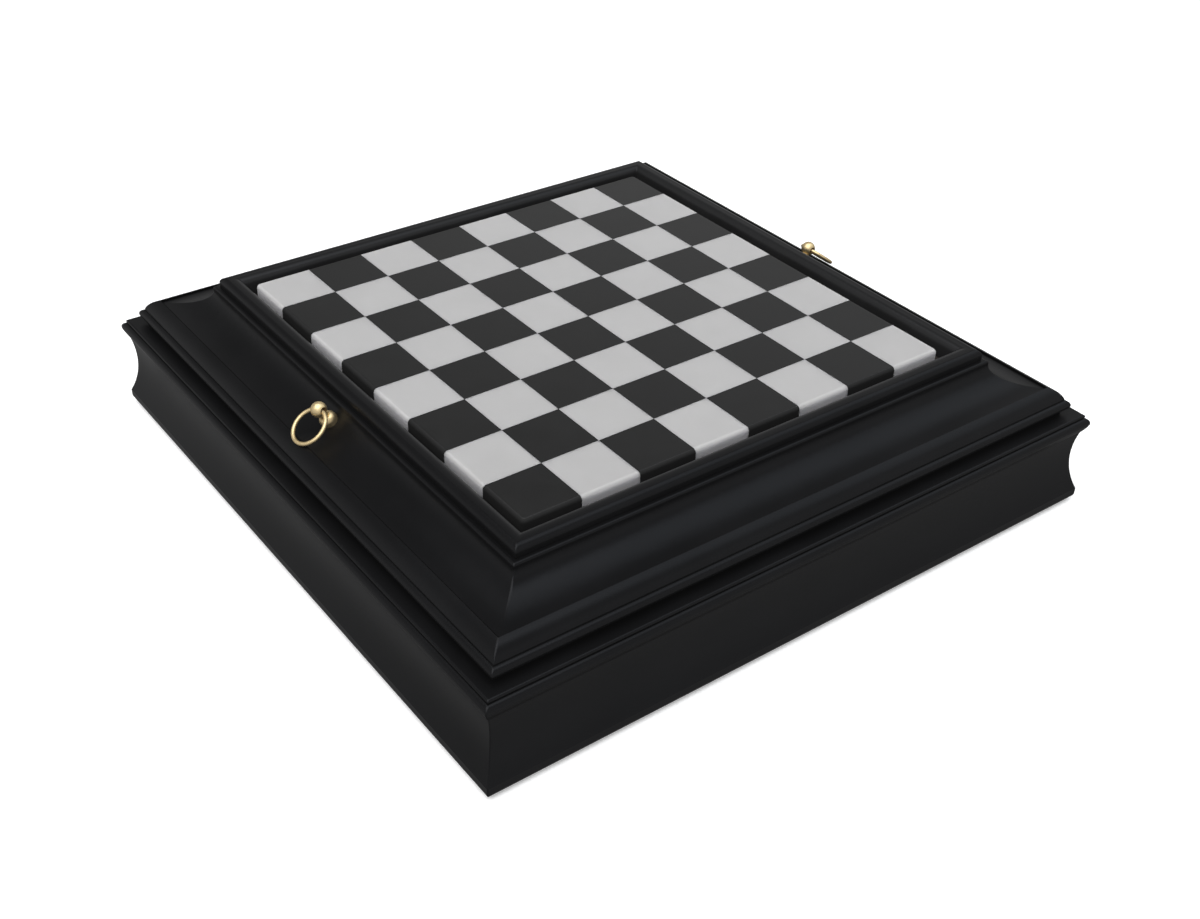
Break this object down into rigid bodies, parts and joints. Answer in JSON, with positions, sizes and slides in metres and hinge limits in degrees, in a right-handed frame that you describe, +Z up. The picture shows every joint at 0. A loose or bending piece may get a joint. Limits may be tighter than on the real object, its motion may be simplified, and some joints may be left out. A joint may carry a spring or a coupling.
{
  "type": "chess box",
  "caption": "Square lidded box in black lacquered wood with moulded sides, an inlaid marble chessboard on the lift-off lid and brass ring pulls at two sides.",
  "frame": {"origin": "middle of the square footprint, on the surface that the box stands on", "axes": "+Z up, +X to the right-hand ring pull, +Y to the back"},
  "size_m": [0.406, 0.406, 0.0937],
  "materials": {
    "black_lacquer": "satin lacquer",
    "inner_wood": "stained",
    "light_marble": "polished",
    "dark_marble": "polished",
    "brass": "polished",
    "felt": "felt"
  },
  "bodies": {
    "base": {"base_front_rail": "black_lacquer", "base_back_rail": "black_lacquer", "base_left_rail": "black_lacquer", "base_right_rail": "black_lacquer", "base_corner_keys": "inner_wood", "base_panel": "inner_wood", "front_liner": "inner_wood", "back_liner": "inner_wood", "left_liner": "inner_wood", "right_liner": "inner_wood", "divider": "inner_wood", "left_felt": "felt", "right_felt": "felt", "foot_pads": "felt"},
    "lid": {"lid_front_rail": "black_lacquer", "lid_back_rail": "black_lacquer", "lid_left_rail": "black_lacquer", "lid_right_rail": "black_lacquer", "lid_corner_keys": "inner_wood", "board_panel": "inner_wood", "light_squares": "light_marble", "dark_squares": "dark_marble", "left_pull_rosette": "brass", "left_pull_post": "brass", "right_pull_rosette": "brass", "right_pull_post": "brass"},
    "left_ring": {"left_pull_ring": "brass"},
    "right_ring": {"right_pull_ring": "brass"}
  },
  "joints": [
    {"name": "lid_lift", "type": "slide", "parent": "base", "child": "lid", "axis": [0, 0, 1], "range_m": [0, 0.12]},
    {"name": "left_ring_swing", "type": "hinge", "parent": "lid", "child": "left_ring", "pos_m": [-0.16975, 0.006, 0.08673], "axis": [-0.2621, 0.9511, -0.1638], "range_deg": [0, 185]},
    {"name": "right_ring_swing", "type": "hinge", "parent": "lid", "child": "right_ring", "pos_m": [0.16975, 0, 0.08673], "axis": [0, -1, 0], "range_deg": [0, 185]}
  ]
}
